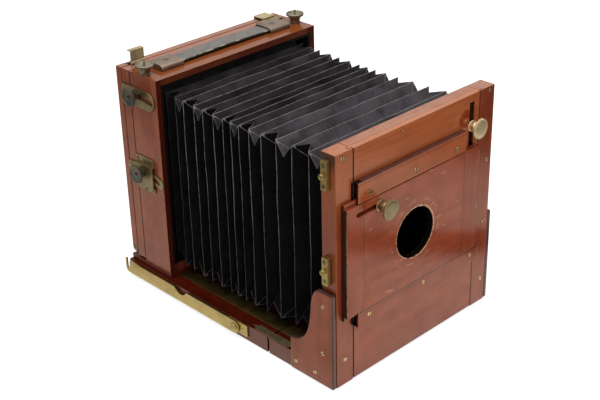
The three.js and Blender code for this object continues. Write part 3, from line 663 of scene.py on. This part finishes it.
DARK_BRASS = brass("dark_brass", (0.35, 0.30, 0.21), (0.16, 0.135, 0.095), 0.5, 0.42)
# near-black for the slots' bottoms and a ring round each head: dirt and painted shade
SLOT_DIRT_AND_SHADE = brass("slot_dirt_and_shade", (0.03, 0.022, 0.012), (0.015, 0.01, 0.006), 0.4, 0.7)
CLOTH = bellows_cloth()
LEATHER = strap_leather()

FINISHES = {
    "front_stile": wood("mahogany_stile", "Z", 0.85, top_from=287, black=stile_joint, recolour=darker_sides_faded_front),
    "front_top_rail": wood("mahogany_top_rail", "X", top_from=287, black=behind_the_panel),
    "front_bottom_rail": wood("mahogany_front_x", "X"),
    "cheek": wood("mahogany_cheek", "Z", 0.8, recolour=moulded_cheek, worn=0.2),
    "rising_panel": wood("mahogany_panel", "X", top_from=287, black=panel_opening, recolour=golden_top),
    "upper_board_rail": board_rail_wood("upper_board_rail", 1.0, 3.2, 0.5),
    "lower_board_rail": board_rail_wood("lower_board_rail", 0.9, 1.4, 0.95),
    "lens_board": lens_board_wood(), "bed_rail": RED_WOOD, "tail_rail": RED_WOOD, "rear_sole": RED_WOOD,
    "bed_board": BED_WOOD, "tail_board": BED_WOOD,
    "rear_frame": framed_wood("mahogany_rear", 40, 279.5, 120.1, 0.95, 0.75, (0.21, 0.058, 0.011)),
    "swing_frame": framed_wood("mahogany_swing", 58, 272, 112),
    "screen_frame": framed_wood("mahogany_screen", 84, 244, 102),
    "ground_glass": screen_glass(), "handle_strap": LEATHER, "bellows": CLOTH, "handle_cap": CAP_BRASS,
    "link_guide": OLD_BRASS, "slotted_plate": OLD_BRASS, "swing_link": OLD_BRASS, "catch": CATCH_BRASS,
    "top_thumbscrew": DARK_BRASS, "upper_knob": BLUE_BRASS, "mid_knob": BLUE_BRASS,
    "front_rack": RACK_BRASS, "tail_rack": RACK_BRASS,
    "front_hinge_leaf": LEAF_BRASS, "back_hinge_leaf": LEAF_BRASS,
}
ROUNDED = {"rising_panel": 0.5, "ground_glass": 0.3, "rear_sole": 0.8, "cheek": 2.2, "handle_cap": 1.0}


def finish_nodes():
    """Gives every CAD node its material and softly rounded edges."""
    for name, node in NODES.items():
        key = name.removesuffix("_left").removesuffix("_right")
        material = FINISHES.get(key, BRASS)
        node.data.materials.clear()
        node.data.materials.append(material)
        is_wood = material.name.startswith("mahogany")
        node.modifiers.new("weld", "WELD").merge_threshold = 1e-5
        flatten = node.modifiers.new("flatten", "DECIMATE")
        flatten.decimate_type = "DISSOLVE"
        flatten.angle_limit = math.radians(1)
        bevel = node.modifiers.new("soften", "BEVEL")
        bevel.width = ROUNDED.get(key, 1.0 if is_wood else 0.35) * MM
        bevel.segments = 3 if is_wood else 2
        bevel.limit_method = "ANGLE"
        bevel.angle_limit = math.radians(40)
        bevel.harden_normals = True
        bevel.use_clamp_overlap = key != "cheek"


# ---------------- mesh building

class Builder:
    """Collects the vertices and faces of one piece, in metres."""

    def __init__(self):
        self.points, self.faces, self.tones = [], [], []

    def add(self, points, faces, tone=0):
        start = len(self.points)
        self.points.extend(points)
        self.faces.extend(tuple(start + i for i in face) for face in faces)
        self.tones.extend([tone] * len(faces))

    def make(self, name, material, body, slot, replaces=()):
        mesh = bpy.data.meshes.new(name)
        mesh.from_pydata([tuple(p) for p in self.points], [], self.faces)
        for tone in material if isinstance(material, tuple) else (material,):
            mesh.materials.append(tone)
        if any(self.tones):
            mesh.polygons.foreach_set("material_index", self.tones)
        mesh.validate()
        piece = new_object(name, mesh)
        mesh.shade_smooth()
        mesh.set_sharp_from_angle(angle=math.radians(35))
        if body:
            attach(piece, body)
        if replaces:
            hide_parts(*replaces)
        return piece


def tube_faces(rows, steps):
    """The walls between rings of points, and the two flat ends."""
    faces = [tuple(range(steps - 1, -1, -1)), tuple(range((rows - 1) * steps, rows * steps))]
    for start in range(0, (rows - 1) * steps, steps):
        for i in range(steps):
            j = (i + 1) % steps
            faces.append((start + i, start + j, start + steps + j, start + steps + i))
    return faces


def rounded(width, depth, radius, reach):
    """A rectangle's outline with corners of this reach, whose centres lie a radius inside it."""
    points = []
    for u, v, start in ((1, 1, 0), (0, 1, 90), (0, 0, 180), (1, 0, 270)):
        x, y = width[u] - radius * (2 * u - 1), depth[v] - radius * (2 * v - 1)
        for turn in range(start, start + 91, 30):
            angle = math.radians(turn)
            points.append((x + reach * math.cos(angle), y + reach * math.sin(angle)))
    return points


def basis(normal):
    """Two directions square to the normal and to each other."""
    normal = normal.normalized()
    first = (Z if abs(normal.z) < 0.9 else Y).cross(normal).normalized()
    return first, normal.cross(first)


# ---------------- screws

def add_screw(builder, spot, normal, radius, turn, height):
    """A slotted screw head: a disc, and two halves on it with the slot between them."""
    first, second = basis(normal)
    along = first * math.cos(turn) + second * math.sin(turn)
    across = normal.cross(along)
    floor, chamfer, half_slot, steps = height * 0.3, height * 0.48, radius * 0.22, 10

    def at(angle, r, h):
        return spot + (along * math.cos(angle) + across * math.sin(angle)) * (r * MM) + normal * (h * MM)

    rims = ((radius + 0.4, 0), (radius + 0.3, floor))
    builder.add([at(math.tau * i / 24, r, h) for r, h in rims for i in range(24)], tube_faces(2, 24), 1)
    begin = math.asin(half_slot / (radius - chamfer)) * 1.02
    for way in (0, math.pi):
        arc = [way + begin + (math.pi - 2 * begin) * i / steps for i in range(steps + 1)]
        layers = ((radius, floor), (radius, height - chamfer), (radius - chamfer, height))
        points = [at(a, r, h) for r, h in layers for a in arc]
        builder.add(points, tube_faces(3, len(arc)))


# Head heights in mm where something slides past. The others stand 0.45 mm proud.
LOW_HEADS = {"frame_screws": 0.25, "hinge_screws_left": 0.15, "hinge_screws_right": 0.15,
             "stay_plate_screw_left": 0.25, "stay_plate_screw_right": 0.25}
SCREWS = [
    # body, slot, name, radius, outward direction, and the heads' places
    ("root", "brass", "frame_screws", 2.8, -Y,
     [(123.5, 0, z) for z in (285, 196.5, 115, 33)] + [(-121.5, 0, 283.6), (-118.7, 0, 33.8)]),
    ("rising_front", "brass", "panel_screws", 2.8, -Y,
     [(x, -7, 235) for x in (-88.5, -12.8, 58.6)] + [(x, -7, 83) for x in (-87.3, 5, 90.7)]),
    ("rising_front", "brass", "panel_pin", 1.6, -Y, [(-28, 0, 284)]),
    ("swing_back", "brass", "swing_screws", 2.2, Y, [(x, 359, z) for x in (-122, 122) for z in (50, 280)]),
    ("swing_back", "old_brass", "plate_screws", 1.7, Z, [(x, 349.7, 292.65) for x in (89, 105, 121)]),
    ("screen", "brass", "corner_screws", 2.4, Y,
     [(x, 370.5, z) for x in (-122, 122) for z in (50, 164, 280)]),
]
for side, s in SIDES:
    SCREWS += [
        ("screen", "old_brass", "screen_pivot" + side, 3.2, X * s, [(s * 131.6, 365.25, 39.5)]),
        ("root", "brass", "cheek_screws" + side, 2.7, X * s,
         [(s * 138.6, y, z) for y, z in ((14.4, 105.5), (15.5, 44), (59, 13.2), (28.2, 12.8))]),
        ("root", "brass", "hinge_screws" + side, 1.9, Z, [(s * 130, y, 22.1) for y in (74, 91, 113, 135)]),
        ("root", "old_brass", "block_screws" + side, 2.2, X * s,
         [(s * 138.6, 11.35, z + d) for z in (266, 151.5) for d in (-12, 12)]),
        ("root", "brass", "stay_plate_screw" + side, 2.4, X * s, [(s * 138.8, 149, 13)]),
        ("root", "old_brass", "stay_pivot_screw" + side, 3.0, X * s, [(s * 142.3, 164.5, 13)]),
        ("rear_standard", "old_brass", "guide_screws" + side, 1.9, X * s,
         [(s * 133.3, y, 178.6) for y in (339, 326.3, 313.6)]
         + [(s * 133.3, y, 140.2) for y in (313.6, 326.3)]),
        ("rear_standard", "old_brass", "cap_screw" + side, 3.4, Z, [(s * 88, STRAP_Y, 298.1)]),
        ("swing_back", "old_brass", "tab_screw" + side, 1.8, X * s, [(s * 133.6, 353, 166)]),
    ]


def make_screws():
    """Screw heads, each group one piece: the heads, and the dirt and painted shade at the bottom of their
    slots and round their rims.
    """
    turns = random.Random(7)
    dark = ("block_screws", "guide_screws", "tab_screw", "stay_pivot_screw", "cap_screw")
    for body, slot, name, radius, normal, spots in SCREWS:
        builder = Builder()
        height = LOW_HEADS.get(name, 0.45)
        for spot in spots:
            add_screw(builder, place(*spot), normal, radius, turns.uniform(0, math.pi), height)
        material = DARK_BRASS if name.startswith(dark) else (SCREW_BRASS if slot == "brass" else OLD_BRASS)
        builder.make(name, (material, SLOT_DIRT_AND_SHADE), body, slot)


# ---------------- knobs

RIBS = 54  # milled ribs round a knob's rim


def add_lathe(builder, seat, axis, profile, steps):
    """A lathe shape: profile rows are a radius and a height in mm from the seat, then 1 where milled."""
    first, second = basis(axis)
    points = []
    for radius, height, *milled in profile:
        for i in range(steps):
            r = radius - (0.4 if milled and i % 3 == 0 else 0.0)
            aim = first * math.cos(math.tau * i / steps) + second * math.sin(math.tau * i / steps)
            points.append(seat + aim * (r * MM) + axis * (height * MM))
    builder.add(points, tube_faces(len(profile), steps))


def turned(kind, side, seat, axis, profile, material, body, slot):
    """A turned piece that takes the place of the plain one of its kind and side."""
    builder = Builder()
    add_lathe(builder, seat, axis, profile, 3 * RIBS)
    builder.make(kind + "_fine" + side, material, body, slot, replaces=[kind + side])


def knob_profile(neck, radius, screw, shape="cone", pin=0.0):
    """Washer, neck (a ball or a stout cone) and milled disc: a dished face round a pin, or a flat one."""
    top = neck + 3.3
    rows = [(2.3, -screw), (2.3, 0), (6.7, 0.05), (6.7, 0.9), (6.3, 1.3), (5.7, 1.5)]
    if shape == "ball":
        middle, half = neck * 0.52, neck * 0.52 - 1.8
        rows += [(4.6 + 2.2 * math.cos(math.radians(turn)), middle + half * math.sin(math.radians(turn)))
                 for turn in range(-80, 81, 16)]
        rows += [(4.6, neck - 1.4), (5.4, neck - 0.7), (7.5, neck - 0.2)]
    else:
        rows += [(6.2, 1.7), (6.4, neck * 0.35), (7.4, neck * 0.6), (8.8, neck * 0.85), (9.6, neck - 0.2)]
    rows += [(radius - 0.9, neck), (radius, neck + 0.5, 1), (radius, top - 0.5, 1), (radius - 0.7, top)]
    if pin:
        rows += [(radius - 1.7, top), (radius - 2.4, top - 0.8), (4.2, top - 1.0), (2.2, top - 0.9)]
        rows += [(1.3, top - 0.7), (1.2, top + 0.4 * pin), (1.8, top + 0.55 * pin)]
        rows += [(2.0, top + 0.75 * pin), (1.7, top + 0.92 * pin), (0.4, top + pin)]
    else:
        rows += [(radius - 1.4, top + 0.05), (radius - 1.8, top - 0.15), (radius - 2.2, top + 0.05)]
        rows += [(radius * share, top + 0.35 - 0.4 * share * share) for share in (0.6, 0.4, 0.2, 0.05)]
    return rows


def make_knobs():
    board = (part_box("lens_board")[0].y - FRONT_Y) / MM
    turned("rise_knob", "", place(91, -0.3, 251), -Y, knob_profile(11.2, 12, 15, "ball"), PALE_BRASS,
           "rise_clamp", "old_brass")
    turned("cross_knob", "", place(-72.5, board - 0.3, 214.5), -Y, knob_profile(14, 12, 13, "ball"),
           KNOB_BRASS, "cross_clamp", "brass")
    wheel = [(2.6, -0.3), (2.6, 0), (7.6, 0), (8.4, 0.6, 1), (8.4, 5.0, 1), (7.6, 5.6), (6.2, 5.6)]
    wheel += [(5.6, 5.0), (3.4, 5.0), (3.0, 5.8), (2.2, 6.2), (0.4, 6.2)]
    turned("focus_wheel", "", place(132.4, 331, 31), X, wheel, BRASS, "focus_drive", "brass")
    for side, s in SIDES:
        turned("top_thumbscrew", side, place(s * 124.5, 321.5, 291.3), Z,
               knob_profile(9, 11.5, 10, pin=4.2), DARK_BRASS, "thumbscrew" + side, "old_brass")
        for kind, spot, neck, screw in (("upper", (s * 134.5, 332, 264), 8, 8),
                                        ("mid", (s * 136.5, 331, 162), 6, 10)):
            turned(kind + "_knob", side, place(*spot), X * s, knob_profile(neck, 12, screw, pin=0.6),
                   BLUE_BRASS, kind + "_clamp" + side, "old_brass")


# ---------------- strap, hinges and plates

def make_strap():
    """The carrying strap: a thick strip of harness leather that lifts a little towards its middle."""
    builder = Builder()
    steps, half, thick = 70, 11.5, 3.0
    drift = random.Random(3)
    phase = drift.uniform(0, 9)
    section = rounded((-half, half), (0, thick), 1.0, 1.0)
    points = []
    for i in range(steps + 1):
        x = -100 + 200 * i / steps
        lift = 0.5 + 1.8 * (1 - (x / 100) ** 2)
        for y, z in section:
            sway = 0.5 * noise.noise(Vector((x / 28, phase, y / 30)))
            sag = 0.35 * noise.noise(Vector((x / 17, y / 14, phase + 4))) if z > thick / 2 else 0
            points.append(place(x, STRAP_Y + y + sway, 291.1 + lift + z + sag))
    builder.add(points, tube_faces(steps + 1, len(section)))
    builder.make("handle_strap_fine", LEATHER, "rear_standard", "strap_leather", replaces=["handle_strap"])


def make_hinge_knuckles():
    """Three-part barrels in the gap between the bed's rail and the tailboard's."""
    barrel = ((1.35, 0), (1.7, 0.25), (1.7, 2.85), (1.35, 3.1))
    for side, s in SIDES:
        builder = Builder()
        for k in range(3):
            # the barrels' tops end just under the sole that passes over them
            add_lathe(builder, place(s * (125.6 + 3.35 * k), 108, 20.59), X * s, barrel, 16)
        builder.make("hinge_knuckle" + side, OLD_BRASS, "root", "brass")


def add_plate(builder, width, depth, radius, thick, at):
    """A flat plate with round corners and a chamfered top; at(u, v, h) gives a point, h above its seat."""
    layers = ((0, 0), (0, thick - 0.2), (0.2, thick))
    points = [at(u, v, h) for inset, h in layers for u, v in rounded(width, depth, radius, radius - inset)]
    builder.add(points, tube_faces(3, 16))


def make_plates():
    """The clips that hold the ground glass in its rebate, and the plate beside the right catch."""
    clips, plate = Builder(), Builder()
    for x in (-107.5, 107.5):
        for z in (108, 164, 220):
            add_plate(clips, (x - 6, x + 6), (z - 2.6, z + 2.6), 2.5, 0.5,
                      lambda u, v, h: place(u, 359.9 - h, v))
    clips.make("glass_clips", BRASS, "screen", "brass")
    add_plate(plate, (85, 125), (344.8, 354.6), 2.0, 1.6, lambda u, v, h: place(u, v, 291.05 + h))
    plate.make("catch_plate", OLD_BRASS, "swing_back", "brass")


def make_catch_keepers():
    """The plates let into the screen frame's top that the catches hook over."""
    for side, s in SIDES:
        builder = Builder()
        rows = [(0.0, 284.3), (0.0, 290.1), (0.5, 290.7), (3.5, 290.7), (4.0, 290.1), (4.0, 284.3)]
        ends = (97.8, 118.2) if s < 0 else (118.2, 97.8)
        builder.add([place(s * x, 366.2 + y, z) for x in ends for y, z in rows], tube_faces(2, 6))
        builder.make("catch_keeper" + side, DARK_BRASS, "screen", "old_brass")


# ---------------- bellows

HALF, TOP, BOTTOM, DEPTH, CLOTH_THICK = 114.5, 272.5, 44.5, 17.0, 1.2
TOP_SAG, BOTTOM_SAG = 5.0, 9.0
FRONT_END, REAR_END = 21.5, 342.7
FIRST_RIDGE = 31
PITCHES = (26, 26, 25, 24, 20, 17, 14, 13, 17, 18, 16, 19, 15, 16, 16, 17)
CORNERS = ((-1, 1), (1, 1), (1, -1), (-1, -1))
MITRE = 1 + math.sqrt(2)
# Each point's inset from the ridge's corner along X and Z: in depths, then in thicknesses inside.
RING = {
    "collar": {"side": (0.5, 1.5, 1, 0), "corner": (0.5, 0.5, 1, 1), "top": (1.5, 0.5, 0, 1)},
    "ridge": {"side": (0, 1, 1, 0), "corner": (0, 0, 1, 1), "top": (1, 0, 0, 1)},
    "lowered": {"side": (1, 2, 1, 2 - MITRE), "corner": (0, 1, MITRE, 1), "top": (1, 1, 0, 1)},
    "drawn": {"side": (1, 1, 1, 0), "corner": (1, 0, 1, MITRE), "top": (2, 1, 2 - MITRE, 1)},
}
RING_POINTS = 12  # three at each corner
LONG_STEPS, SHORT_STEPS = 26, 5  # mesh steps along a side and along a corner's folds


def fold_stations():
    """Every fold from front to rear: its distance, and what its top and bottom corners do."""
    stations = [(FRONT_END, "collar", "collar")]
    y = FIRST_RIDGE
    for i, pitch in enumerate((*PITCHES, 0)):
        stations.append((y, "ridge", "ridge"))
        kinds = ("drawn", "lowered") if i % 2 else ("lowered", "drawn")
        if pitch:
            stations.append((y + pitch / 2, *kinds))
        y += pitch
    stations.append((REAR_END, "collar", "collar"))
    return stations


def fold_ring(station, inset):
    y, top_kind, bottom_kind = station
    droop = math.sin(math.pi * (y - FRONT_END) / (REAR_END - FRONT_END))
    ring = []
    for sx, sz in CORNERS:
        insets = RING[top_kind if sz > 0 else bottom_kind]
        level = TOP - TOP_SAG * droop if sz > 0 else BOTTOM - BOTTOM_SAG * droop
        for key in ("side", "corner", "top") if sx * sz < 0 else ("top", "corner", "side"):
            u, v, a, b = insets[key]
            x, z = HALF - u * DEPTH - a * inset, v * DEPTH + b * inset
            ring.append(Vector((sx * x, y, level - sz * z)))
    return ring


def wobble(point, k):
    """A fold is never quite straight: it wanders a little along Y, less at the two ends."""
    spot = Vector((point.x / 55, point.z / 55, k * 2.7))
    calm = min(1, (point.y - FRONT_END) / 30, (REAR_END - point.y) / 45)
    out = Vector((math.copysign(1, point.x), 0, 0)) if abs(point.x) > HALF * 0.8 else Vector((0, 0, 1))
    return Y * (1.5 * calm * noise.noise(spot)) + out * (0.7 * calm * noise.noise(spot * 1.7 + X * 9))


def bellows_skin(stations, inset, first):
    """Rows of points from fold to fold, and each point's distance from the nearest ridge and crease."""
    rows, ridge, crease = [], [], []
    outer = [fold_ring(s, 0) for s in stations]
    rings = [fold_ring(s, inset) for s in stations]
    for k in range(len(stations) - 1):
        near_ridge = stations[k][1] == "ridge"
        last = k == len(stations) - 2
        for step in range(SHORT_STEPS + (1 if last else 0)):
            v = step / SHORT_STEPS
            row = []
            for j in range(RING_POINTS):
                i = (j + 1) % RING_POINTS
                steps = LONG_STEPS if j % 3 == 2 else SHORT_STEPS
                a, b, c, d = rings[k][j], rings[k][i], rings[k + 1][i], rings[k + 1][j]
                width = (outer[k + 1][j] - outer[k][j]).length
                flip = (j % 3 == 1) == near_ridge  # which diagonal the corner's crease follows
                for t in range(steps):
                    u = t / steps
                    if j % 3 == 2:
                        point = a.lerp(b, u).lerp(d.lerp(c, u), v)
                        start = outer[k][j].lerp(outer[k][i], u)
                        end = outer[k + 1][j].lerp(outer[k + 1][i], u)
                        shift = wobble(start, first + k).lerp(wobble(end, first + k + 1), v)
                        bow = 4 * v * (1 - v) * math.sin(math.pi * u)
                        shift += Y * (bow * 1.1 * noise.noise(Vector((u * 5, k * 3.3, first + j))))
                        fade = min(1, u * 8, (1 - u) * 8)
                        point = point + shift * fade
                    elif flip:  # the crease runs from a to c
                        point = a + (b - a) * u + (c - b) * v if u >= v else a + (d - a) * v + (c - d) * u
                    elif u + v <= 1:  # the crease runs from b to d
                        point = a + (b - a) * u + (d - a) * v
                    else:
                        point = c + (d - c) * (1 - u) + (b - c) * (1 - v)
                    row.append(point)
                    ridge.append((v if near_ridge else 1 - v) * width)
                    if j % 3 == 2:
                        crease.append(30.0)
                    else:
                        gap = abs(u - v) if flip else abs(u + v - 1)
                        crease.append(min(gap, u if j % 3 == 1 else 1) * DEPTH)
            rows.append(row)
    return rows, ridge, crease


def bellows_piece(name, stations, first):
    """Two skins of cloth, joined at both ends. The cloth's material reads ridge, crease and rest."""
    builder = Builder()
    ridges, creases = [], []
    for inset in (0, CLOTH_THICK):
        rows, ridge, crease = bellows_skin(stations, inset, first)
        builder.points += [place(p.x, p.y, p.z) for row in rows for p in row]
        ridges += ridge
        creases += crease
    size, inner = len(rows[0]), len(builder.points) // 2
    kinds = [j % 3 for j in range(RING_POINTS) for _ in range(LONG_STEPS if j % 3 == 2 else SHORT_STEPS)]
    for r in range(len(rows) - 1):
        near_ridge = stations[r // SHORT_STEPS][1] == "ridge"
        for i in range(size):
            n = (i + 1) % size
            a, b, c, d = r * size + i, r * size + n, (r + 1) * size + n, (r + 1) * size + i
            if kinds[i] == 2:
                faces = [(a, b, c, d)]
            elif (kinds[i] == 1) == near_ridge:
                faces = [(a, b, c), (a, c, d)]
            else:
                faces = [(b, c, d), (b, d, a)]
            builder.faces += faces + [tuple(inner + v for v in reversed(face)) for face in faces]
    last = (len(rows) - 1) * size
    for i in range(size):
        n = (i + 1) % size
        builder.faces.append((inner + i, inner + n, n, i))
        builder.faces.append((last + i, last + n, inner + last + n, inner + last + i))
    piece = builder.make(name, CLOTH, None, "bellows_cloth", replaces=["bellows"])
    attributes = piece.data.attributes
    for key, values in (("ridge", ridges), ("crease", creases)):
        attributes.new(key, "FLOAT", "POINT").data.foreach_set("value", values)
    rest = attributes.new("rest", "FLOAT_VECTOR", "POINT")
    rest.data.foreach_set("vector", [c for p in builder.points for c in p])
    return piece


def make_bellows():
    stations = fold_stations()
    split = len(stations) - 6  # a valley inside the rear standard
    front = bellows_piece("bellows_front", stations[: split + 1], 0)
    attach(front, "root")
    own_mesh(front)
    rear = bellows_piece("bellows_rear", stations[split:], split)
    start, end = place(0, stations[split][0], 150), place(0, REAR_END, 150)
    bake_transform(rear, "rear_standard", "swing_back", start=tuple(start), end=tuple(end))


make_camera()
make_studio()
finish_nodes()
make_screws()
make_knobs()
make_strap()
make_hinge_knuckles()
make_plates()
make_catch_keepers()
make_bellows()
